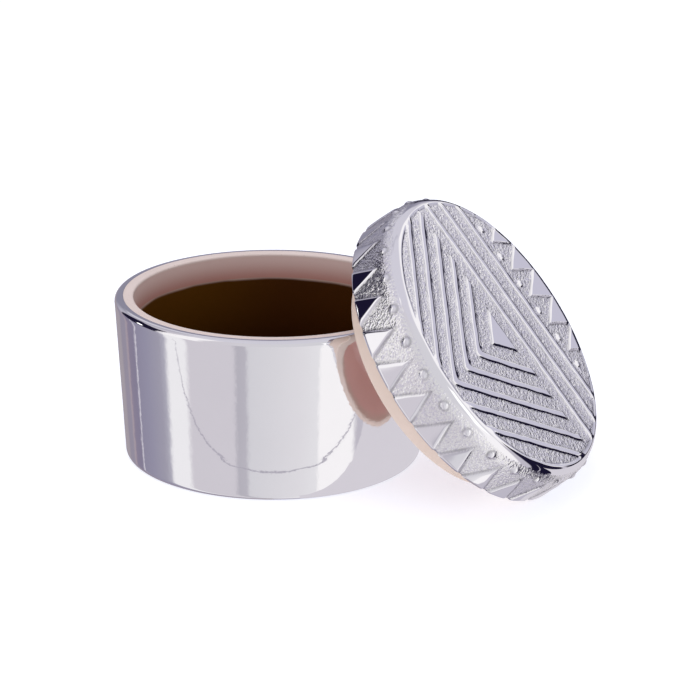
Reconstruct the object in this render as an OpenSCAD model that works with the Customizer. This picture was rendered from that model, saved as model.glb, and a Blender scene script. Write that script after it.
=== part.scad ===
// Lidded candle vessel: a straight-sided pot and its embossed cap lid, which leans on the pot's rim.
// Millimetres, +Z up, origin at the middle of the pot's foot. The lid leans towards +X.

/* [Pot] */
// Outer radius at the rim
pot_rim_r = 50; // [46:0.5:54]
// Outer radius at the foot
pot_foot_r = 47.1; // [46:0.1:50]
// Height of the pot
pot_h = 52; // [48:0.5:56]
// Rounding of the rim's outer edge
rim_round = 1.8; // [1:0.1:2.2]
// Rounding of the foot's edge
foot_round = 1.8; // [1:0.1:2.2]
// Wall of the silver shell
shell_t = 2.7; // [2.3:0.1:3]
// Floor of the silver shell
shell_floor = 2.4; // [2:0.1:3]
// Radius of the bore at the rim
bore_r = 44; // [43.5:0.1:44.5]
// Radius of the bore where it meets the cove
bore_low_r = 41; // [40:0.1:42]
// Height of the inside floor
floor_z = 7; // [6:0.1:9]
// Radius of the cove between wall and floor
cove_r = 8; // [5:0.5:12]
// Depth of the bare band below the rim
bare_band = 8; // [7:0.1:10]
// Thickness of the dark inner glaze
glaze_t = 0.6; // [0.4:0.1:1]

/* [Lid] */
// Outer radius of the lid
lid_r = 49.5; // [48:0.1:49.8]
// Height of the lid above its lower edge
lid_h = 17.2; // [16:0.1:19]
// Rounding of the lid's shoulder
shoulder_r = 6; // [4.5:0.1:6.5]
// Wall of the silver cap
cap_t = 2.4; // [2:0.1:3]
// Outer radius of the locating flange
flange_r = 39; // [38.6:0.1:39.6]
// Inner radius of the locating flange
flange_in_r = 35.2; // [35.2:0.1:36]
// Drop of the flange below the lid's lower edge
flange_drop = 9.9; // [8:0.1:9.9]
// Height of the hollow's ceiling above the lid's lower edge
hollow_h = 8; // [4:0.1:10]
// Radius of the cove round the hollow's ceiling
hollow_cove = 3; // [1:0.1:4]

/* [Lid pattern] */
// Height of the polished pattern above the textured ground
relief = 0.6; // [0.4:0.1:0.8]
// Radius of the field inside the polished border
field_r = 45.3; // [44:0.1:46]
// Turn of the pattern about the lid's axis
pattern_turn = 95.3; // [90:0.1:100]
// Half angle of the arrowheads
arrow_half = 36.5; // [34:0.5:40]
// Width of an arrowhead's strip
arrow_strip = 2; // [1.5:0.1:3]
// Inner tip of the innermost arrowhead
arrow_tip = -18.6; // [-20:0.1:-17]
// Distance from one arrowhead tip to the next
arrow_pitch = 11.3; // [10:0.1:13]
// Number of arrowheads, the clipped ones included
arrow_count = 5; // [3:1:5]
// Sideways place of the arrowheads' axis
arrow_axis = 1.2; // [-2:0.1:3]
// Where the arrowheads end
arrow_end = 2.4; // [1:0.1:4]
// Outer edge of the first straight strip
bar_first = 10; // [8:0.1:11]
// Distance from one straight strip to the next
bar_pitch = 8.65; // [8:0.05:9.2]
// Number of straight strips
bar_count = 3; // [2:1:3]
// Width of a straight strip
bar_strip = 2.2; // [1.5:0.1:3]
// Where the wedges between the teeth start
wedge_in = 31.3; // [30:0.1:34]
// Distance from one wedge to the next
wedge_pitch = 10.5; // [9:0.1:12]
// Sideways place of the middle wedge
wedge_mid = 0.25; // [-2:0.05:2]
// Number of raised triangles round the skirt
skirt_count = 28; // [20:1:32]
// Turn of the first raised triangle
skirt_turn = -88.3; // [-95:0.1:-80]
// Height of a raised triangle
skirt_tri_h = 9.9; // [8:0.1:11]
// Share of the pitch that a triangle's base takes
skirt_tri_share = 0.78; // [0.6:0.01:0.9]
// Height of the skirt's raised dots
dot_z = 12.5; // [11.5:0.1:13]
// Radius of a raised dot
dot_r = 1.3; // [0.9:0.1:1.4]
// Distance of the field's dots from the lid's axis, between the wedges
pearl_x = 30.7; // [29:0.1:32]

/* [Lean] */
// Tilt of the lid from level
lean = 52.7; // [52.4:0.1:53]
// Distance from the pot's axis to the middle of the lid's lower edge
lean_x = 63.4; // [63.4:0.1:65]

/* [Hidden] */
$fn = 96;
// Glue line between a liner and its shell
glue = 0.05;
// Rounding of the liner's and the flange's free edges
lip_round = 0.8;
arc_steps = 6;
cut = 60;
// How far a dot stands proud, how far the band of texture runs up the shoulder, root of a triangle
dot_rise = 0.55;
band_top = 15.9;
tri_root = 1;
seam_r = pot_rim_r - shell_t;
shell_in_low = pot_foot_r - shell_t;
bare_z = pot_h - bare_band;
lean_z = lid_r * sin(lean);
skirt_step = 360 / skirt_count;
tri_half = PI * lid_r / skirt_count * skirt_tri_share;
// Sphere radius and depth that leave a dot of dot_r standing dot_rise proud
dot_ball = (dot_r * dot_r + dot_rise * dot_rise) / (2 * dot_rise);
dot_sink = dot_ball - dot_rise;

// Points of an arc of radius r about (x, z), from angle a to angle b
function arc(x, z, r, a, b) = [
    for (i = [0 : arc_steps])
        let (t = a + (b - a) * i / arc_steps)
        [x + r * cos(t), z + r * sin(t)]
];

// Radius of the bore's wall at height z
function bore_at(z) = bore_low_r
    + (bore_r - bore_low_r) * (z - floor_z - cove_r) / (pot_h - floor_z - cove_r);

// Half outline of the bore, grown by g, from height z down to the axis
function bore_line(g, z) = concat(
    [[bore_at(z) + g, z]],
    arc(bore_low_r - cove_r, floor_z + cove_r, cove_r + g, 0, -90),
    [[0, floor_z - g]]
);

// Half outline of the lid's cap, pulled in by g
function cap_line(g) = concat(
    [[0, 0], [lid_r - g, 0]],
    arc(lid_r - shoulder_r, lid_h - shoulder_r, shoulder_r - g, 0, 90),
    [[0, lid_h - g]]
);

module leaning() {
    translate([lean_x, 0, lean_z]) rotate([0, lean, 0]) children();
}

module pot_shell() {
    color("#c9c7d0") rotate_extrude() polygon(concat(
        [[0, 0]],
        arc(pot_foot_r - foot_round, foot_round, foot_round, -90, 0),
        arc(pot_rim_r - rim_round, pot_h - rim_round, rim_round, 0, 90),
        [[seam_r, pot_h], [shell_in_low, shell_floor], [0, shell_floor]]
    ));
}

module pot_liner() {
    color("#e8dfd6") rotate_extrude() polygon(concat(
        [[0, shell_floor + glue], [shell_in_low - glue, shell_floor + glue], [seam_r - glue, pot_h]],
        arc(bore_r + lip_round, pot_h - lip_round, lip_round, 90, 180),
        [[bore_at(bare_z), bare_z]],
        bore_line(glaze_t, bare_z)
    ));
}

module inner_glaze() {
    inner = bore_line(0, bare_z);
    outer = bore_line(glaze_t - glue, bare_z);
    color("#341b08") rotate_extrude() polygon(concat(
        inner,
        [for (i = [len(outer) - 1 : -1 : 0]) outer[i]]
    ));
}

// One arrowhead whose inner edge has its tip at x
module arrow_2d(x) {
    reach = cut / sin(arrow_half);
    arm = [reach * cos(arrow_half), reach * sin(arrow_half)];
    back = arrow_strip / sin(arrow_half);
    translate([x, arrow_axis]) polygon([
        [0, 0], [arm.x, arm.y], [arm.x - back, arm.y],
        [-back, 0], [arm.x - back, -arm.y], [arm.x, -arm.y]
    ]);
}

// The small triangle inside the innermost arrowhead
module centre_triangle_2d() {
    tri_side = arrow_end - 0.9;
    tri_len = 12.9;
    tri_h = tri_len * tan(arrow_half - 1.5);
    polygon([
        [tri_side - tri_len, arrow_axis],
        [tri_side, arrow_axis - tri_h],
        [tri_side, arrow_axis + tri_h]
    ]);
}

// One wedge between two teeth, opening towards the border
module wedge_2d(y) {
    depth = 12;
    far = 16;
    polygon([
        [wedge_in, y],
        [wedge_in + depth, y - wedge_pitch / 2],
        [wedge_in + far, y - wedge_pitch / 2],
        [wedge_in + far, y + wedge_pitch / 2],
        [wedge_in + depth, y + wedge_pitch / 2]
    ]);
}

// Everything inside the border that stands above the textured ground
module pattern_2d() {
    intersection() {
        union() {
            for (i = [0 : arrow_count - 1])
                arrow_2d(arrow_tip - i * arrow_pitch);
        }
        translate([-2 * cut + arrow_end, -cut]) square([2 * cut, 2 * cut]);
    }
    centre_triangle_2d();
    for (i = [0 : bar_count - 1])
        translate([bar_first + i * bar_pitch - bar_strip, -cut]) square([bar_strip, 2 * cut]);
    for (i = [-3 : 3])
        wedge_2d(wedge_mid + i * wedge_pitch);
}

module field_2d() {
    rotate(pattern_turn) intersection() {
        circle(field_r);
        pattern_2d();
    }
}

// The polished border, which rounds over the shoulder down to the band of triangles
module border() {
    rotate_extrude() intersection() {
        polygon(cap_line(0));
        translate([field_r - relief, band_top]) square([lid_r - field_r + relief, lid_h - band_top]);
    }
}

// A triangle with its base on the lid's lower edge, as a prism through the skirt at angle a
module skirt_triangle(a) {
    rotate(a) translate([lid_r - relief - tri_root, 0, 0]) rotate([90, 0, 90])
        linear_extrude(relief + 2 * tri_root)
            polygon([[-tri_half, 0], [0, skirt_tri_h], [tri_half, 0]]);
}

module dot(x, y, z) {
    translate([x, y, z]) sphere(dot_ball, $fn = 24);
}

module dots() {
    for (i = [0 : skirt_count - 1])
        rotate(skirt_turn + (i + 0.5) * skirt_step)
            dot(lid_r - relief - dot_sink, 0, dot_z);
    rotate(pattern_turn)
        for (i = [-3 : 2])
            dot(pearl_x, wedge_mid + (i + 0.5) * wedge_pitch, lid_h - relief - dot_sink);
}

module lid_cap() {
    color("#d2d0d8") leaning() difference() {
        union() {
            rotate_extrude() polygon(cap_line(relief));
            intersection() {
                rotate_extrude() polygon(cap_line(0));
                union() {
                    translate([0, 0, lid_h - 2 * relief]) linear_extrude(3 * relief) field_2d();
                    for (i = [0 : skirt_count - 1])
                        skirt_triangle(skirt_turn + i * skirt_step);
                }
            }
            border();
            dots();
        }
        translate([0, 0, -1]) cylinder(r = lid_r - cap_t, h = 1 + lid_h - shoulder_r);
        rotate_extrude() polygon(cap_line(cap_t));
    }
}

module lid_plug() {
    color("#e8cdbc") leaning() rotate_extrude() polygon(concat(
        [[0, hollow_h]],
        arc(flange_in_r - hollow_cove, hollow_h - hollow_cove, hollow_cove, 90, 0),
        arc(flange_in_r + lip_round, lip_round - flange_drop, lip_round, 180, 270),
        arc(flange_r - lip_round, lip_round - flange_drop, lip_round, -90, 0),
        [[flange_r, 0], [lid_r - cap_t - glue, 0]],
        arc(lid_r - shoulder_r, lid_h - shoulder_r, shoulder_r - cap_t - glue, 0, 90),
        [[0, lid_h - cap_t - glue]]
    ));
}

pot_shell();
pot_liner();
inner_glaze();
lid_cap();
lid_plug();
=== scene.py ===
import math

import bpy
import numpy as np
from mathutils import Matrix, Vector, noise


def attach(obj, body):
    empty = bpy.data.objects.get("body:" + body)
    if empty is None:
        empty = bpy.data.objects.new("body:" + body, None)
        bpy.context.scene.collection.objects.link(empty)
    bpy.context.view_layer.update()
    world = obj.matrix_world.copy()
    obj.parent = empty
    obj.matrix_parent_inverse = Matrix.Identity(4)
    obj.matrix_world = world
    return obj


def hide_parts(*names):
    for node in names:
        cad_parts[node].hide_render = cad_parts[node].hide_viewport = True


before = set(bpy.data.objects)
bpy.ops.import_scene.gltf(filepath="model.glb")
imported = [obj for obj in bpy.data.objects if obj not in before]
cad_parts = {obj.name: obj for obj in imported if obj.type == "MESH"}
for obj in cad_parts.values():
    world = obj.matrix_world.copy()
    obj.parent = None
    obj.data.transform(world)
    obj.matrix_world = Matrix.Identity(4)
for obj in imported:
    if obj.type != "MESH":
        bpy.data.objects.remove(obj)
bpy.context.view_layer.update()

MM = 0.001
TINY = 1e-6
DEGREES = 180 / math.pi  # in a radian

# ---------------------------------------------------------------- sizes
# Millimetres and degrees, as in the CAD.
POT_RIM_R, POT_FOOT_R, POT_H = 50.0, 47.1, 52.0
RIM_ROUND = FOOT_ROUND = 1.8
SHELL_T, SHELL_FLOOR = 2.7, 2.4
BORE_R, BORE_LOW_R, FLOOR_Z, COVE_R = 44.0, 41.0, 7.0, 8.0
BARE_BAND, GLAZE_T, GLUE, LIP = 8.0, 0.6, 0.05, 0.8
BARE_Z = POT_H - BARE_BAND
SEAM_R = POT_RIM_R - SHELL_T
SHELL_IN_LOW = POT_FOOT_R - SHELL_T
LID_R, LID_H, SHOULDER_R, CAP_T = 49.5, 17.2, 6.0, 2.4
FLAT_R = LID_R - SHOULDER_R
FLANGE_R, FLANGE_IN_R, FLANGE_DROP, HOLLOW_H, HOLLOW_COVE = 39.0, 35.2, 9.9, 8.0, 3.0
RELIEF, FIELD_R, PATTERN_TURN, BAND_TOP = 0.6, 45.3, 95.3, 15.9
ARROW_HALF, ARROW_STRIP, ARROW_TIP, ARROW_PITCH = 36.5, 2.0, -18.6, 11.3
ARROW_COUNT, ARROW_AXIS, ARROW_END = 5, 1.2, 2.4
BAR_FIRST, BAR_PITCH, BAR_COUNT, BAR_STRIP = 10.0, 8.65, 3, 2.2
WEDGE_IN, WEDGE_PITCH, WEDGE_MID, WEDGE_DEPTH = 31.3, 10.5, 0.25, 12.0
SKIRT_COUNT, SKIRT_TURN, SKIRT_TRI_H, SKIRT_SHARE = 28, -88.3, 9.9, 0.78
DOT_Z, PEARL_X = 12.5, 30.7
LEAN, LEAN_X = 52.7, 63.4
LEAN_Z = LID_R * math.sin(math.radians(LEAN))

# The same, but drawn closer to the photograph than the CAD has it: slightly larger dots, a middle
# triangle without its long corner, and arrows with rounded corners.
DOT_R, DOT_RISE = 1.5, 0.6
TRI_LEN, TRI_HALF_ANGLE, TRI_BACK, TRI_TRIM = 12.9, 35.0, 0.9, 2.2
ARROW_ROUND, ARROW_ROUND_SINK = 1.2, 0.5

# ---------------------------------------------------------------- camera
CAM_AZ, CAM_EL, CAM_DIST = 25.0, 18.87, 900.0
AIM = Vector((0, 0, 25))
AIM_RIGHT, AIM_UP = 1.555, 0.487  # how far past AIM the camera looks, in degrees
LENS, SENSOR = 145.3, 36.0
CLIP_NEAR, CLIP_FAR = 0.05, 20.0  # in metres


def make_camera():
    az, el = math.radians(CAM_AZ), math.radians(CAM_EL)
    back = Vector((math.sin(az) * math.cos(el), -math.cos(az) * math.cos(el), math.sin(el)))
    data = bpy.data.cameras.new("camera")
    data.lens, data.sensor_width = LENS, SENSOR
    data.clip_start, data.clip_end = CLIP_NEAR, CLIP_FAR
    data.dof.use_dof = False
    cam = bpy.data.objects.new("camera", data)
    bpy.context.collection.objects.link(cam)
    cam.location = (AIM + back * CAM_DIST) * MM
    turn = (-back).to_track_quat("-Z", "Y").to_matrix()
    aside = Matrix.Rotation(-math.radians(AIM_RIGHT), 3, "Y")
    aside = aside @ Matrix.Rotation(math.radians(AIM_UP), 3, "X")
    cam.rotation_euler = (turn @ aside).to_euler()
    bpy.context.scene.camera = cam


# ---------------------------------------------------------------- node helpers
MIX_A, MIX_B, MIX_OUT = 6, 7, 2  # the colour sockets of a Mix node


def grey(r, g, b):
    """A linear colour from 0-255 display values."""
    def lin(c):
        c /= 255
        return c / 12.92 if c <= 0.04045 else ((c + 0.055) / 1.055) ** 2.4
    return (lin(r), lin(g), lin(b), 1.0)


def white(level):
    """A linear white, which may be brighter than 1."""
    return (level, level, level, 1)


class Net:
    """Short words for building a node tree."""

    def __init__(self, tree):
        self.tree = tree
        tree.nodes.clear()

    def add(self, kind, **values):
        n = self.tree.nodes.new(kind)
        for key, value in values.items():
            setattr(n, key, value)
        return n

    def put(self, socket, value):
        if hasattr(value, "is_output"):
            self.tree.links.new(value, socket)
        else:
            socket.default_value = value

    def math(self, op, a, b=None):
        n = self.add("ShaderNodeMath", operation=op)
        self.put(n.inputs[0], a)
        if b is not None:
            self.put(n.inputs[1], b)
        return n.outputs[0]

    def step(self, value, lo, hi, kind="SMOOTHSTEP"):
        """0 below lo, 1 above hi."""
        n = self.add("ShaderNodeMapRange", interpolation_type=kind, clamp=True)
        self.put(n.inputs["Value"], value)
        n.inputs["From Min"].default_value, n.inputs["From Max"].default_value = lo, hi
        return n.outputs["Result"]

    def mix(self, f, a, b):
        n = self.add("ShaderNodeMix", data_type="RGBA")
        self.put(n.inputs["Factor"], f)
        self.put(n.inputs[MIX_A], a)
        self.put(n.inputs[MIX_B], b)
        return n.outputs[MIX_OUT]

    def ramp(self, f, stops):
        n = self.add("ShaderNodeValToRGB")
        n.color_ramp.interpolation = "LINEAR"
        el = n.color_ramp.elements
        while len(el) > 1:
            el.remove(el[-1])
        el[0].position, el[0].color = stops[0]
        for pos, col in stops[1:]:
            e = el.new(pos)
            e.color = col
        self.put(n.inputs["Fac"], f)
        return n.outputs["Color"]

    def noise(self, where, scale, detail, rough):
        n = self.add("ShaderNodeTexNoise")
        n.inputs["Scale"].default_value = scale
        n.inputs["Detail"].default_value = detail
        n.inputs["Roughness"].default_value = rough
        self.put(n.inputs["Vector"], where)
        return n.outputs["Fac"]

    def parts(self, where):
        """The three coordinates, by name."""
        n = self.add("ShaderNodeSeparateXYZ")
        self.put(n.inputs[0], where)
        return n.outputs


# ---------------------------------------------------------------- the studio, as a world
# The tone that silver finds at each azimuth, in degrees from the camera's side round to the
# right, below the horizon (the table and low cards) and above it (the studio's walls and flags).
NAVY = grey(25, 22, 45)
MAUVE = grey(164, 156, 164)
DUSK = grey(140, 138, 155)
LILAC = grey(208, 204, 211)
CARD = grey(250, 248, 249)
WHITE_CARD = grey(240, 239, 241)
PALE = grey(212, 211, 216)
LOW_ROOM = [
    (-180, MAUVE), (-153, MAUVE), (-149, grey(150, 143, 158)), (-140, grey(150, 144, 160)),
    (-137, grey(172, 158, 166)), (-134, grey(138, 130, 150)), (-124, grey(134, 128, 150)),
    (-122.5, grey(226, 222, 230)), (-121, grey(143, 139, 160)), (-108, grey(149, 146, 166)),
    (-93, grey(160, 157, 172)), (-88, grey(176, 174, 187)), (-84, WHITE_CARD), (-69, WHITE_CARD),
    (-65, LILAC), (-30, LILAC), (-27, grey(183, 180, 189)), (-21, grey(186, 183, 192)),
    (-18, PALE), (20, grey(224, 222, 226)), (34, grey(230, 229, 232)), (36, CARD), (63, CARD),
    (67, grey(192, 188, 198)), (100, grey(196, 192, 202)), (179, grey(186, 182, 196)),
]
HIGH_ROOM = [
    (-180, DUSK), (-156, DUSK), (-142, grey(178, 175, 188)), (-90, LILAC), (-84, CARD),
    (-58, CARD), (-50, LILAC), (0, PALE), (62, PALE), (74, CARD), (150, CARD),
    (168, grey(160, 157, 174)), (179, DUSK),
]
HORIZON_SOFT = 4.0
CEILING_FROM, CEILING_FULL = 52.0, 64.0
CEILING = grey(210, 208, 218)
# Cards that take up only part of the height: azimuth from, to, elevation from, to, soft edge, tone
BACK_CARD = grey(207, 205, 215)  # behind, in two halves because azimuth wraps round there
CARDS = (
    (-136, -91, -3, 36, 3, NAVY),
    (-113, -107, 6, 13, 2, white(3.0)),
    (106, 141, 5, 29, 4, grey(198, 196, 211)),
    (118, 134, -34, 2, 4, NAVY),
    (133, 190, -34, 9, 4, NAVY),
    (78, 112, -66, 6, 3, NAVY),
    (36, 57, -3, 27, 3, white(1.15)),
    (150, 200, 26, 58, 6, BACK_CARD),
    (-200, -150, 26, 58, 6, BACK_CARD),
)


def make_world():
    world = bpy.data.worlds.new("studio")
    bpy.context.scene.world = world
    world.use_nodes = True
    net = Net(world.node_tree)
    az = math.radians(CAM_AZ)
    toward = (math.sin(az), -math.cos(az), 0.0)
    right = (math.cos(az), math.sin(az), 0.0)
    way = net.add("ShaderNodeTexCoord").outputs["Generated"]

    def along(axis):
        n = net.add("ShaderNodeVectorMath", operation="DOT_PRODUCT")
        net.put(n.inputs[0], way)
        n.inputs[1].default_value = axis
        return n.outputs["Value"]

    angle = net.math("ARCTAN2", along(right), along(toward))
    turn = net.math("ADD", net.math("DIVIDE", angle, math.tau), 0.5)
    around = net.math("MULTIPLY", angle, DEGREES)
    rise = net.math("MULTIPLY", net.math("ARCSINE", along((0, 0, 1))), DEGREES)

    def stops(room):
        return [((a + 180) / 360, c) for a, c in room]

    def between(value, lo, hi, soft):
        starts = net.step(value, lo - soft / 2, lo + soft / 2)
        ends = net.step(value, hi - soft / 2, hi + soft / 2)
        return net.math("MULTIPLY", starts, net.math("SUBTRACT", 1.0, ends))

    low = net.ramp(turn, stops(LOW_ROOM))
    high = net.ramp(turn, stops(HIGH_ROOM))
    room = net.mix(net.step(rise, -HORIZON_SOFT, HORIZON_SOFT), low, high)
    room = net.mix(net.step(rise, CEILING_FROM, CEILING_FULL), room, CEILING)
    for az_lo, az_hi, el_lo, el_hi, soft, tone in CARDS:
        cover = net.math("MULTIPLY", between(around, az_lo, az_hi, soft),
                         between(rise, el_lo, el_hi, soft))
        room = net.mix(cover, room, tone)
    back = net.add("ShaderNodeBackground")
    net.put(back.inputs["Color"], room)
    out = net.add("ShaderNodeOutputWorld")
    net.put(out.inputs["Surface"], back.outputs[0])


def area_light(name, place, aim, size, power):
    data = bpy.data.lights.new(name, "AREA")
    data.shape, data.size, data.energy = "DISK", size * MM, power
    lamp = bpy.data.objects.new(name, data)
    bpy.context.collection.objects.link(lamp)
    lamp.location = Vector(place) * MM
    lamp.rotation_euler = (Vector(aim) - Vector(place)).to_track_quat("-Z", "Y").to_euler()
    lamp.visible_glossy = False


# ---------------------------------------------------------------- mesh helpers
SEED_Y, SEED_Z = 7.3, -3.1  # with these, each seed reads another part of the noise


def new_mesh(name, verts, faces, material, sharp=35.0):
    mesh = bpy.data.meshes.new(name)
    mesh.from_pydata([tuple(v) for v in verts], [], faces)
    mesh.validate()
    mesh.shade_smooth()
    if sharp:
        mesh.set_sharp_from_angle(angle=math.radians(sharp))
    mesh.materials.append(material)
    obj = bpy.data.objects.new(name, mesh)
    bpy.context.collection.objects.link(obj)
    return obj


def arc(x, z, r, a, b, steps=8):
    span = [math.radians(a + (b - a) * i / steps) for i in range(steps + 1)]
    return [(x + r * math.cos(t), z + r * math.sin(t)) for t in span]


def finer(outline, longest):
    """The outline with its long runs cut up."""
    out = [outline[0]]
    for p, q in zip(outline, outline[1:]):
        n = max(1, math.ceil(math.dist(p, q) / longest))
        out += [(p[0] + (q[0] - p[0]) * i / n, p[1] + (q[1] - p[1]) * i / n)
                for i in range(1, n + 1)]
    return out


def lathe(outline, around, warp=None):
    """Vertices and faces of a turned solid. The outline runs from axis to axis, or closes on
    itself off the axis."""
    verts, rings, faces = [], [], []
    for r, z in outline:
        if r < TINY:
            rings.append([len(verts)])
            verts.append(Vector((0, 0, z)))
            continue
        rings.append(list(range(len(verts), len(verts) + around)))
        for i in range(around):
            a = math.tau * i / around
            d = warp(r, z, a) if warp else 0.0
            verts.append(Vector(((r + d) * math.cos(a), (r + d) * math.sin(a), z)))
    pairs = list(zip(rings, rings[1:]))
    if len(rings[0]) > 1:
        pairs.append((rings[-1], rings[0]))
    for low, high in pairs:
        if len(low) == len(high) == 1:
            continue
        for i in range(around):
            j = (i + 1) % around
            if len(low) == 1:
                faces.append((low[0], high[j], high[i]))
            elif len(high) == 1:
                faces.append((low[i], low[j], high[0]))
            else:
                faces.append((low[i], low[j], high[j], high[i]))
    return verts, faces


def put_values(obj, name, values):
    """One number for each of the mesh's first vertices, and 0 for the rest."""
    every = np.zeros(len(obj.data.vertices), dtype=np.float32)
    every[:len(values)] = values
    obj.data.attributes.new(name, "FLOAT", "POINT").data.foreach_set("value", every)


def wavy(p, size, seed):
    """Smooth noise about -1 to 1 with features of that size in millimetres."""
    return noise.noise(Vector(p) / size + Vector((seed, SEED_Y * seed, SEED_Z * seed)))


# ---------------------------------------------------------------- materials
def material(name):
    m = bpy.data.materials.new(name)
    m.use_nodes = True
    net = Net(m.node_tree)
    shader = net.add("ShaderNodeBsdfPrincipled")
    out = net.add("ShaderNodeOutputMaterial")
    net.put(out.inputs["Surface"], shader.outputs[0])
    return m, net, shader


def bump(net, shader, height, strength, distance):
    b = net.add("ShaderNodeBump")
    b.inputs["Strength"].default_value = strength
    b.inputs["Distance"].default_value = distance
    net.put(b.inputs["Height"], height)
    net.put(shader.inputs["Normal"], b.outputs[0])


def place_of(net):
    return net.add("ShaderNodeTexCoord").outputs["Object"]


def polished_silver():
    m, net, shader = material("polished_silver")
    where = place_of(net)
    cloud = net.noise(where, scale=60, detail=3, rough=0.55)
    tone = net.mix(cloud, grey(247, 246, 248), grey(252, 251, 253))
    net.put(shader.inputs["Base Color"], tone)
    shader.inputs["Metallic"].default_value = 1.0
    shader.inputs["Roughness"].default_value = 0.05
    ripple = net.noise(where, scale=420, detail=2, rough=0.5)
    bump(net, shader, ripple, strength=0.05, distance=0.0004)
    return m


def embossed_silver():
    """Smooth where the cap's stipple attribute is 0, grainy where it is 1, and painted dark as
    shade in the creases of the relief.
    """
    m, net, shader = material("embossed_silver")
    where = place_of(net)
    mask = net.add("ShaderNodeAttribute", attribute_name="stipple").outputs["Fac"]
    crease_shade = net.add("ShaderNodeAttribute", attribute_name="crease_shade").outputs["Fac"]
    grain = net.add("ShaderNodeTexVoronoi")
    grain.inputs["Scale"].default_value = 1500
    net.put(grain.inputs["Vector"], where)
    peak = grain.outputs["Distance"]
    # painted shade on the stipple: each grain is lightest in its middle and lilac grey at its
    # edges
    tone = net.ramp(peak, [(0.10, grey(255, 255, 253)), (0.45, grey(253, 252, 251)),
                           (0.72, grey(242, 240, 247))])
    # painted shade: lilac grey specks over the stipple
    shade_specks = net.step(net.noise(where, scale=2100, detail=2, rough=0.6), 0.62, 0.72)
    tone = net.mix(shade_specks, tone, grey(206, 202, 215))
    tone = net.mix(mask, grey(250, 249, 252), tone)
    # painted shade: the base colour goes dark lilac in the relief's creases, standing in for the
    # dark reflections there
    net.put(shader.inputs["Base Color"], net.mix(crease_shade, tone, grey(40, 36, 54)))
    shader.inputs["Metallic"].default_value = 1.0
    # roughness 0.04 where smooth, 0.23 where grainy
    net.put(shader.inputs["Roughness"], net.step(mask, -0.2, 5.0, "LINEAR"))
    bump(net, shader, net.math("MULTIPLY", peak, mask), strength=1.0, distance=0.000125)
    return m


def bare_cream():
    """Palest on the lip; down the wall inside, painted shade and painted brown bounce light make
    it darker and redder towards the glaze.
    """
    m, net, shader = material("bare_cream")
    where = place_of(net)
    cloud = net.noise(where, scale=130, detail=4, rough=0.6)
    tone = net.mix(cloud, grey(224, 208, 201), grey(232, 217, 211))
    speck = net.step(net.noise(where, scale=1600, detail=2, rough=0.5), 0.66, 0.74)
    tone = net.mix(speck, tone, grey(205, 186, 178))
    height, edge = net.parts(where)["Z"], BARE_Z * MM
    # painted shade and painted brown bounce light on the wall inside, strongest next to the glaze
    lit = net.step(height, edge - 1.0 * MM, edge + 7.0 * MM)
    wall = net.mix(lit, grey(186, 132, 121), grey(224, 196, 188))
    tone = net.mix(net.step(height, edge + 6.8 * MM, edge + 7.8 * MM), wall, tone)
    net.put(shader.inputs["Base Color"], tone)
    shader.inputs["Roughness"].default_value = 0.62
    shader.inputs["Specular IOR Level"].default_value = 0.35
    tooth = net.noise(where, scale=900, detail=3, rough=0.6)
    bump(net, shader, tooth, strength=0.12, distance=0.0003)
    return m


def warm_cream():
    """Pinker where the plug's hollow attribute is 1: a painted shade tint in the hollow under the
    lid.
    """
    m, net, shader = material("warm_cream")
    where = place_of(net)
    cloud = net.noise(where, scale=120, detail=4, rough=0.6)
    tone = net.mix(cloud, grey(222, 203, 188), grey(232, 214, 200))
    hollow = net.add("ShaderNodeAttribute", attribute_name="hollow").outputs["Fac"]
    # painted shade: the hollow is tinted pinker, as cream in shade looks
    tone = net.mix(hollow, tone, grey(240, 206, 196))
    net.put(shader.inputs["Base Color"], tone)
    shader.inputs["Roughness"].default_value = 0.6
    shader.inputs["Specular IOR Level"].default_value = 0.35
    tooth = net.noise(where, scale=900, detail=3, rough=0.6)
    bump(net, shader, tooth, strength=0.12, distance=0.0003)
    return m


def dark_glaze():
    """Brown, with a thin pale upper edge; painted shade makes it darker towards the bottom, and
    painted light makes it lighter to the left.
    """
    m, net, shader = material("dark_glaze")
    where = place_of(net)
    at, edge = net.parts(where), BARE_Z * MM
    sway = net.math("SUBTRACT", net.noise(where, scale=45, detail=2, rough=0.5), 0.5)
    level = net.math("ADD", at["Z"], net.math("MULTIPLY", sway, 1.6 * MM))
    cloud = net.noise(where, scale=90, detail=3, rough=0.55)
    brown = net.mix(cloud, grey(68, 34, 2), grey(60, 28, 1))
    # painted light: lighter brown on the left side of the well
    brown = net.mix(net.step(at["X"], -12 * MM, -42 * MM), brown, grey(84, 50, 4))
    # painted shade: darker down towards the bottom of the well
    deep = net.mix(net.step(level, 10 * MM, 40 * MM), grey(36, 10, 0), brown)
    tone = net.mix(net.step(level, edge - 1.1 * MM, edge), deep, grey(190, 160, 148))
    net.put(shader.inputs["Base Color"], tone)
    shader.inputs["Roughness"].default_value = 0.42
    shader.inputs["Specular IOR Level"].default_value = 0.12
    return m


def floor_paper():
    m, net, shader = material("floor_paper")
    net.put(shader.inputs["Base Color"], grey(205, 208, 216))
    net.put(shader.inputs["Emission Color"], grey(248, 249, 255))
    shader.inputs["Emission Strength"].default_value = 0.64
    shader.inputs["Roughness"].default_value = 0.9
    shader.inputs["Specular IOR Level"].default_value = 0.0
    return m


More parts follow.
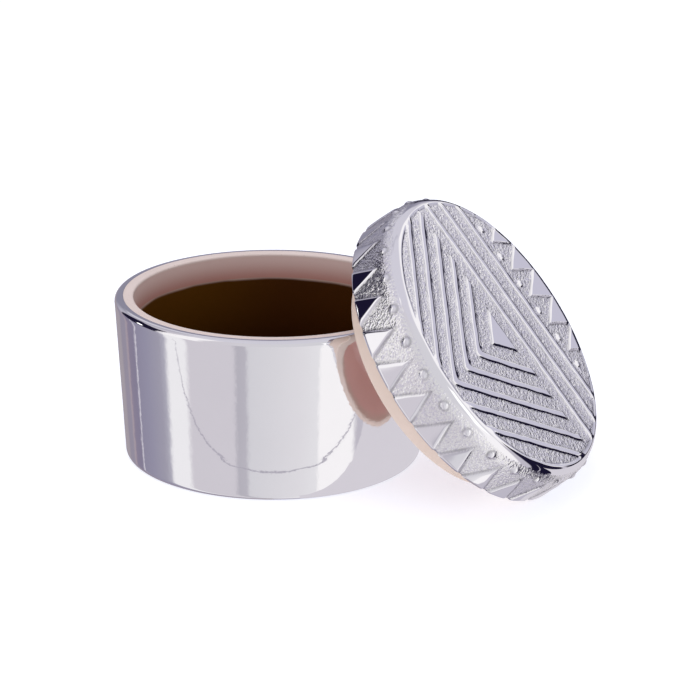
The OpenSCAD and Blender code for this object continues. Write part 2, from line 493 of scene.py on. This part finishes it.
def mirror_only(name, half_x, half_y, middle, turn, tone):
    """A flat card on the table that only the silver sees."""
    m, net, shader = material(name)
    glow = net.add("ShaderNodeEmission")
    net.put(glow.inputs["Color"], tone)
    net.put(net.tree.nodes["Material Output"].inputs["Surface"], glow.outputs[0])
    c, s = math.cos(math.radians(turn)), math.sin(math.radians(turn))
    corners = [(-half_x, -half_y), (half_x, -half_y), (half_x, half_y), (-half_x, half_y)]
    verts = [((middle[0] + c * x - s * y) * MM, (middle[1] + s * x + c * y) * MM, middle[2] * MM)
             for x, y in corners]
    card = new_mesh(name, verts, [(0, 1, 2, 3)], m, sharp=0)
    card.visible_camera = card.visible_diffuse = card.visible_shadow = False


# ---------------------------------------------------------------- the pot
SHELL_SIDES, TURNED_SIDES = 384, 192
# The hand-polished wall: how far it is drawn in at most, over what height below the rim that
# fades in, how much heights count (less than 1 makes the dents taller than wide), the sizes of
# its swells and dents, the swells' share, and the distances it keeps from the rim and the foot.
HAND, HAND_FADE, HAND_TALL = 0.07, 4, 0.45
SWELL_SIZE, DENT_SIZE, SWELL_SHARE = 17, 7, 0.75
RIM_KEEP, FOOT_KEEP = 0.4, 1
SWELL_SEED, DENT_SEED = 1.0, 2.0


def bore_at(z):
    low = FLOOR_Z + COVE_R
    return BORE_LOW_R + (BORE_R - BORE_LOW_R) * (z - low) / (POT_H - low)


def bore_line(g, z):
    """The bore from height z down to the axis, g outside the CAD's bore."""
    cove = arc(BORE_LOW_R - COVE_R, FLOOR_Z + COVE_R, COVE_R + g, 0, -90)
    return [(bore_at(z) + g, z)] + cove + [(0, FLOOR_Z - g)]


def shell_wave(r, z, a):
    """The shell's outside is drawn in by a few hundredths, unevenly, as turned and polished
    metal is."""
    if r < SEAM_R + RIM_KEEP or z > POT_H - RIM_KEEP or r < SHELL_IN_LOW + FOOT_KEEP:
        return 0.0
    p = (r * math.cos(a), r * math.sin(a), z * HAND_TALL)
    swell = SWELL_SHARE * wavy(p, SWELL_SIZE, SWELL_SEED)
    swell += (1 - SWELL_SHARE) * wavy(p, DENT_SIZE, DENT_SEED)
    fade = min(1.0, (POT_H - z) / HAND_FADE)
    return -HAND * fade * (1 + swell) / 2


def make_pot(silver, cream, glaze):
    foot = arc(POT_FOOT_R - FOOT_ROUND, FOOT_ROUND, FOOT_ROUND, -90, 0)
    rim = arc(POT_RIM_R - RIM_ROUND, POT_H - RIM_ROUND, RIM_ROUND, 0, 90, steps=10)
    line = [(0, 0)] + finer(foot + rim, longest=1.1)
    line += [(SEAM_R, POT_H), (SHELL_IN_LOW, SHELL_FLOOR), (0, SHELL_FLOOR)]
    shell = new_mesh("shell", *lathe(line, SHELL_SIDES, shell_wave), silver)

    inside = finer([(bore_at(BARE_Z), BARE_Z)] + bore_line(GLAZE_T, BARE_Z), longest=2.0)
    lip = arc(BORE_R + LIP, POT_H - LIP, LIP, 90, 180)
    line = [(0, SHELL_FLOOR + GLUE), (SHELL_IN_LOW - GLUE, SHELL_FLOOR + GLUE),
            (SEAM_R - GLUE, POT_H)]
    line += finer(lip + [inside[0]], longest=1.2) + inside[1:]
    liner = new_mesh("liner", *lathe(line, TURNED_SIDES), cream)

    under = finer(bore_line(GLAZE_T - GLUE, BARE_Z), longest=3.0)
    line = finer(bore_line(0, BARE_Z), longest=1.5) + under[::-1]
    coat = new_mesh("glaze", *lathe(line, TURNED_SIDES), glaze)
    for piece in (shell, liner, coat):
        piece.data.transform(Matrix.Scale(MM, 4))
    return shell, liner, coat


# ---------------------------------------------------------------- the lid's pattern
# Run of the pattern's walls in millimetres, and how far the gentle ones start outside their strip
STEEP, CRISP, GENTLE, OUTSET = 0.65, 0.9, 1.7, 0.35
SKIRT_RUN, BAND_RUN = 1.15, 3.2
CLIMB_AT_EDGE, BANK_AT_EDGE, TRACE_FULL, SOFT = 0.45, 0.6, 1.4, 0.25
WEDGES_EACH_WAY = 3
# The skirt's triangles are not all alike: how far their tips stray aside and up, and how that
# changes from one to the next
TIP_ASIDE, TIP_UP = 0.35, 0.4
ASIDE_BEAT, UP_BEAT, UP_SHIFT = 2.9, 5.3, 1


def climb(d, run):
    """Height of the pattern, 0 to 1, at distance d inside its edge: steep at its foot, and
    rounding over at its top."""
    h = np.clip(d / run + CLIMB_AT_EDGE, 0, 1)
    return 1 - (1 - h) ** 2


def bank(d, run):
    """The same with an even slope."""
    return np.clip(d / run + BANK_AT_EDGE, 0, 1)


def trace(d, half):
    """A line drawn along d = 0."""
    return np.clip(TRACE_FULL - np.abs(d) / half, 0, 1)


def soft_min(a, b):
    h = np.clip(0.5 + 0.5 * (b - a) / SOFT, 0, 1)
    return b * (1 - h) + a * h - SOFT * h * (1 - h)


def field_height(u, v):
    """How high the pattern stands in the field, from 0 on the stippled ground to 1."""
    s, c = math.sin(math.radians(ARROW_HALF)), math.cos(math.radians(ARROW_HALF))
    w = np.hypot(v - ARROW_AXIS, ARROW_ROUND) - ARROW_ROUND * ARROW_ROUND_SINK
    upper = v > ARROW_AXIS
    best = np.zeros(u.shape)
    for i in range(ARROW_COUNT):
        q = (u - (ARROW_TIP - i * ARROW_PITCH)) * s - w * c
        inner = np.where(upper, bank(OUTSET - q, GENTLE), bank(-q, STEEP))
        strip = soft_min(inner, bank(q + ARROW_STRIP, np.where(upper, STEEP, CRISP)))
        best = np.maximum(best, soft_min(strip, bank(ARROW_END - u, CRISP)))

    s, c = math.sin(math.radians(TRI_HALF_ANGLE)), math.cos(math.radians(TRI_HALF_ANGLE))
    side = ARROW_END - TRI_BACK
    flank = (u - side + TRI_LEN) * s
    over_axis = (v - ARROW_AXIS) * c
    triangle = np.minimum(flank - over_axis - TRI_TRIM, flank + over_axis)
    best = np.maximum(best, bank(np.minimum(triangle, side - u), CRISP))

    for i in range(BAR_COUNT):
        edge = BAR_FIRST + i * BAR_PITCH
        bar = soft_min(bank(edge - u, GENTLE), bank(u - edge + BAR_STRIP, STEEP))
        best = np.maximum(best, bar)

    open_angle = math.atan2(WEDGE_PITCH / 2, WEDGE_DEPTH)
    s, c = math.sin(open_angle), math.cos(open_angle)
    for i in range(-WEDGES_EACH_WAY, WEDGES_EACH_WAY + 1):
        d = (u - WEDGE_IN) * s - np.abs(v - WEDGE_MID - i * WEDGE_PITCH) * c
        best = np.maximum(best, bank(d, CRISP))
    return best


def dot_rise(d):
    ball = (DOT_R**2 + DOT_RISE**2) / (2 * DOT_RISE)
    cap = np.sqrt(np.maximum(ball**2 - d**2, 0)) - (ball - DOT_RISE)
    return np.where(d < DOT_R, cap, 0.0)


def skirt_distance(phi, h):
    """Distance inside the nearest raised triangle of the skirt, at angle phi and height h."""
    pitch = math.tau / SKIRT_COUNT
    k = np.round((phi - math.radians(SKIRT_TURN)) / pitch)
    off = (phi - math.radians(SKIRT_TURN) - k * pitch) * LID_R
    half = math.pi * LID_R / SKIRT_COUNT * SKIRT_SHARE
    aside = TIP_ASIDE * np.sin(k * ASIDE_BEAT)
    tall = SKIRT_TRI_H + TIP_UP * np.sin(k * UP_BEAT + UP_SHIFT)
    e = np.arctan2(half, tall)
    return (tall - h) * np.sin(e) - np.abs(off - aside * h / tall) * np.cos(e)


# ---------------------------------------------------------------- the lid
# Run of the cap's edges on its top, and how many times that on its shoulder and its skirt
STEP, SHOULDER_STEP, SKIRT_STEP = 0.32, 1.35, 1.4
# Size in millimetres and seed of the smooth noises: pattern along and across its axis, small
# grain, larger grain, border
DRIFTS = ((5.5, 3.0), (5.5, 4.0), (0.5, 5.0), (0.95, 6.0), (9, 8.0))
DRIFT, BORDER_DRIFT, BAND_DRIFT, SKIRT_DRIFT = 0.22, 0.25, 0.4, 0.2
GRAIN, SMALL_SHARE, LARGE_SHARE = 0.14, 0.5, 0.7
PITS, PIT_SEED = 0.03, 11
PILLOW = 0.05  # how far the smooth parts sink and swell
EDGE_ROUND, EDGE_IN = 0.8, 0.3  # the skirt's lower edge
STIPPLE_FROM, STIPPLE_SOFT, DOT_CLEAR = 0.8, 0.2, 0.3
# Painted shade in the creases of the relief, standing in for the dark reflections there: its
# strength, the reach of the slope that it looks at, and half the width of its lines
CREASE_SHADE, REACH, LINE = 0.45, 0.2, 0.4
LINE_OUT = 0.55  # how far outside the skirt's triangles their line runs
SLOPE_GAIN, SLOPE_LEAST = 2.2, 0.35
FOOT_FULL, FOOT_HEIGHT = 1.7, 0.4
# how patchy the painted shade is: its mean, its spread and its least
PATCHY, PATCHY_SPREAD, PATCHY_LEAST = 0.75, 0.8, 0.2  # it is thinner in some places
SIDEWAYS, UPWARD = 0.999, 0.9  # a normal this far over counts as the skirt's, or the top's
# Margins, in millimetres, of what counts as the plug's hollow
PAST_WALL, PAST_ROOF, SHORT_OF_LIP = 0.2, 0.5, 1


def circle(r, around):
    for j in range(around):
        a = math.tau * j / around
        yield r * math.cos(a), r * math.sin(a)


def add_ring(verts, faces, last, ring):
    """Joins a new ring of points to the one that starts at last, and says where it starts."""
    here, around = len(verts), len(ring)
    verts += ring
    for j in range(around):
        k = (j + 1) % around
        faces.append((last + j, here + j, here + k, last + k))
    return here


def cap_grid():
    """The cap's outside: points as (x, y, z, how far the normal points outward, and upward),
    faces, the number of points round it, and the first point of the last ring."""
    rings = round(FLAT_R / STEP)
    around = 6 * rings
    verts, faces = [(0.0, 0.0, LID_H, 0.0, 1.0)], []
    start = [0]
    for i in range(1, rings + 1):
        start.append(len(verts))
        r = FLAT_R * i / rings
        for j in range(6 * i):
            a = math.tau * j / (6 * i)
            verts.append((r * math.cos(a), r * math.sin(a), LID_H, 0.0, 1.0))
    for i in range(1, rings + 1):
        inner, outer = 6 * (i - 1), 6 * i
        for side in range(6):
            for j in range(i):
                o0 = start[i] + (side * i + j) % outer
                o1 = start[i] + (side * i + j + 1) % outer
                n0 = start[i - 1] + ((side * (i - 1) + j) % inner if inner else 0)
                faces.append((n0, o0, o1))
                if j < i - 1:
                    n1 = start[i - 1] + (side * (i - 1) + j + 1) % inner
                    faces.append((n0, o1, n1))
    # shoulder, then skirt
    tall = LID_H - SHOULDER_R
    bend = math.ceil(SHOULDER_R * math.pi / 2 / (STEP * SHOULDER_STEP))
    down = math.ceil(tall / (STEP * SKIRT_STEP))
    rows = [
        (FLAT_R + SHOULDER_R * math.sin(t), tall + SHOULDER_R * math.cos(t),
         math.sin(t), math.cos(t))
        for t in (math.pi / 2 * k / bend for k in range(1, bend + 1))
    ]
    rows += [(LID_R, tall * (1 - k / down), 1.0, 0.0) for k in range(1, down + 1)]
    last = start[rings]
    for r, z, nr, nz in rows:
        ring = [(x, y, z, nr, nz) for x, y in circle(r, around)]
        last = add_ring(verts, faces, last, ring)
    return verts, faces, around, last


def cap_relief(points):
    """How deep each point lies below the cap's outline, how stippled it is, and how much painted
    shade it takes in the creases of the relief.
    """
    x, y, z, nr, nz = points.T
    phi = np.arctan2(y, x)
    r = np.hypot(x, y)
    drift_u, drift_v, small, large, border = np.array(
        [[wavy(p, size, seed) for size, seed in DRIFTS] for p in points[:, :3]]).T
    turn = math.radians(PATTERN_TURN)
    u = x * math.cos(turn) + y * math.sin(turn) + DRIFT * drift_u
    v = -x * math.sin(turn) + y * math.cos(turn) + DRIFT * drift_v
    bent = SHOULDER_R * np.arcsin(np.clip(nr, 0, 1))
    over = FLAT_R + bent  # distance from the axis, measured over the shoulder

    def top_height(u, v, over):
        rim = bank(over + (BORDER_DRIFT * border - FIELD_R), CRISP)
        return np.maximum(field_height(u, v), rim)

    top = top_height(u, v, over)
    # painted shade in the foot of every wall, standing in for the dark reflections there
    ru, rv = u / np.maximum(r, TINY), v / np.maximum(r, TINY)
    du = (top_height(u + REACH, v, over + REACH * ru)
          - top_height(u - REACH, v, over - REACH * ru))
    dv = (top_height(u, v + REACH, over + REACH * rv)
          - top_height(u, v - REACH, over - REACH * rv))
    steep = np.hypot(du, dv) / (2 * REACH)
    # the painted shade is patchy
    patchy = np.clip(PATCHY + PATCHY_SPREAD * drift_u, PATCHY_LEAST, 1)
    crease_shade = patchy * np.clip(steep * SLOPE_GAIN - SLOPE_LEAST, 0, 1)
    crease_shade *= np.clip(FOOT_FULL - top / FOOT_HEIGHT, 0, 1)

    # the smooth band over the shoulder, and the triangles that stand on the skirt's edge
    below = LID_H - SHOULDER_R - z + SHOULDER_R * math.pi / 2
    down = np.where(nr > SIDEWAYS, below, bent)
    band = SHOULDER_R * math.acos((BAND_TOP - LID_H + SHOULDER_R) / SHOULDER_R)
    low = climb(band - down + BAND_DRIFT * border, BAND_RUN)
    inside = skirt_distance(phi + SKIRT_DRIFT / LID_R * drift_u, z)
    on_side = down > band * 0.5
    raised = np.where(on_side, np.maximum(low, climb(inside, SKIRT_RUN)), top)
    # a painted shade line round the foot of each of the skirt's triangles
    crease_shade = np.where(on_side, patchy * trace(inside + LINE_OUT, LINE), crease_shade)

    # dots, between the skirt's triangles and between the wedges of the top
    pitch = math.tau / SKIRT_COUNT
    k = np.round((phi - math.radians(SKIRT_TURN)) / pitch - 0.5)
    off = (phi - math.radians(SKIRT_TURN) - (k + 0.5) * pitch) * LID_R
    away = np.hypot(off, z - DOT_Z)
    on_skirt = z < LID_H - 0.5
    dots = np.where(on_skirt, dot_rise(away), 0)
    # a painted shade ring round the foot of each dot on the skirt
    ringed = np.maximum(crease_shade, patchy * trace(away - DOT_R, LINE))
    crease_shade = np.where(on_skirt, ringed, crease_shade)
    for i in range(-WEDGES_EACH_WAY, WEDGES_EACH_WAY):
        d = np.hypot(u - PEARL_X, v - WEDGE_MID - (i + 0.5) * WEDGE_PITCH)
        dots = np.maximum(dots, np.where(nz > UPWARD, dot_rise(d), 0))

    ground = 1 - raised
    stipple = np.clip(1 - dots / (DOT_CLEAR * DOT_RISE), 0, 1)
    stipple *= np.clip((ground - STIPPLE_FROM) / STIPPLE_SOFT, 0, 1)
    pits = np.random.default_rng(PIT_SEED).uniform(-1, 1, len(points))
    grain = GRAIN * (small * SMALL_SHARE + large * LARGE_SHARE) + PITS * pits
    pillow = PILLOW * (1 + drift_u) * raised
    depth = np.maximum(RELIEF * ground - dots + stipple * grain + pillow, 0.0)
    edge = np.clip(z / EDGE_ROUND, 0, 1)
    depth = np.where(nr > SIDEWAYS, depth + EDGE_IN * (1 - edge) ** 2, depth)
    return depth, stipple, CREASE_SHADE * crease_shade


def make_lid_cap(metal):
    verts, faces, around, last = cap_grid()
    points = np.array(verts)
    depth, stipple, crease_shade = cap_relief(points)
    x, y, z, nr, nz = points.T
    phi = np.arctan2(y, x)
    x = x - depth * nr * np.cos(phi)
    y = y - depth * nr * np.sin(phi)
    z = np.where(z > TINY, z - depth * nz, z)
    verts = [tuple(p) for p in np.stack([x, y, z], 1)]
    # under the edge and up inside to the plug
    inner = [(LID_R - CAP_T, 0.0), (LID_R - CAP_T, LID_H - SHOULDER_R)]
    inner += arc(FLAT_R, LID_H - SHOULDER_R, SHOULDER_R - CAP_T, 0, 90, steps=3)[1:]
    for r_in, z_in in inner:
        last = add_ring(verts, faces, last, [(a, b, z_in) for a, b in circle(r_in, around)])
    verts.append((0.0, 0.0, LID_H - CAP_T))
    for j in range(around):
        faces.append((last + j, len(verts) - 1, last + (j + 1) % around))
    obj = new_mesh("cap", verts, faces, metal, sharp=55)
    put_values(obj, "stipple", stipple)
    # painted shade in the relief's creases
    put_values(obj, "crease_shade", crease_shade)
    return obj


def make_lid_plug(cream):
    line = [(0, HOLLOW_H)]
    line += arc(FLANGE_IN_R - HOLLOW_COVE, HOLLOW_H - HOLLOW_COVE, HOLLOW_COVE, 90, 0)
    line += arc(FLANGE_IN_R + LIP, LIP - FLANGE_DROP, LIP, 180, 270)
    line += arc(FLANGE_R - LIP, LIP - FLANGE_DROP, LIP, -90, 0)
    line += [(FLANGE_R, 0), (LID_R - CAP_T - GLUE, 0)]
    line += arc(FLAT_R, LID_H - SHOULDER_R, SHOULDER_R - CAP_T - GLUE, 0, 90)
    line += [(0, LID_H - CAP_T - GLUE)]
    obj = new_mesh("plug", *lathe(finer(line, longest=3), TURNED_SIDES), cream)
    # marks the hollow, where warm_cream paints a pinker shade tint
    x, y, z = np.array([v.co for v in obj.data.vertices]).T
    within = np.hypot(x, y) < FLANGE_IN_R + PAST_WALL
    within &= (z < HOLLOW_H + PAST_ROOF) & (z > SHORT_OF_LIP - FLANGE_DROP)
    put_values(obj, "hollow", within)
    return obj


def lean(obj):
    """Puts a lid piece, built level about the origin, in its place against the rim."""
    place = Matrix.Translation((LEAN_X, 0, LEAN_Z)) @ Matrix.Rotation(math.radians(LEAN), 4, "Y")
    obj.data.transform(Matrix.Scale(MM, 4) @ place)


# ---------------------------------------------------------------- put together
make_camera()
make_world()
area_light("overhead", place=(-150, -150, 1100), aim=(20, 0, 0), size=900, power=3.0)
area_light("front_fill", place=(250, -900, 700), aim=(20, 0, 20), size=700, power=1.0)

shell, liner, coat = make_pot(polished_silver(), bare_cream(), dark_glaze())
cap = make_lid_cap(embossed_silver())
plug = make_lid_plug(warm_cream())
lean(cap)
lean(plug)
for piece, body, node, finish in (
    (shell, "pot", "pot_shell", "polished_silver"),
    (liner, "pot", "pot_liner", "bare_cream"),
    (coat, "pot", "inner_glaze", "dark_glaze"),
    (cap, "lid", "lid_cap", "embossed_silver"),
    (plug, "lid", "lid_plug", "warm_cream"),
):
    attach(piece, body)
    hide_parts(node)

FLOOR = 6.0  # half its side, in metres
paper = new_mesh("floor", [(-FLOOR, -FLOOR, 0), (FLOOR, -FLOOR, 0), (FLOOR, FLOOR, 0),
                           (-FLOOR, FLOOR, 0)], [(0, 1, 2, 3)], floor_paper(), sharp=0)
paper.visible_glossy = False

# What the silver sees of the table close by: the front edge of a board, which makes the thin
# curve on the pot, and the pale table to the right of the pot, under and behind the lid
BOARD_AHEAD, BOARD_Z = 18.0, 0.4
ahead = POT_FOOT_R + BOARD_AHEAD
cam_az = math.radians(CAM_AZ)
mirror_only("board_edge", half_x=160, half_y=0.5,
            middle=(ahead * math.sin(cam_az), -ahead * math.cos(cam_az), BOARD_Z),
            turn=CAM_AZ, tone=grey(172, 168, 180))
mirror_only("table_right", half_x=62, half_y=70, middle=(62, 47, 0.3), turn=20,
            tone=grey(214, 210, 217))

bpy.context.scene.view_settings.view_transform = "Standard"
bpy.context.scene.view_settings.look = "None"
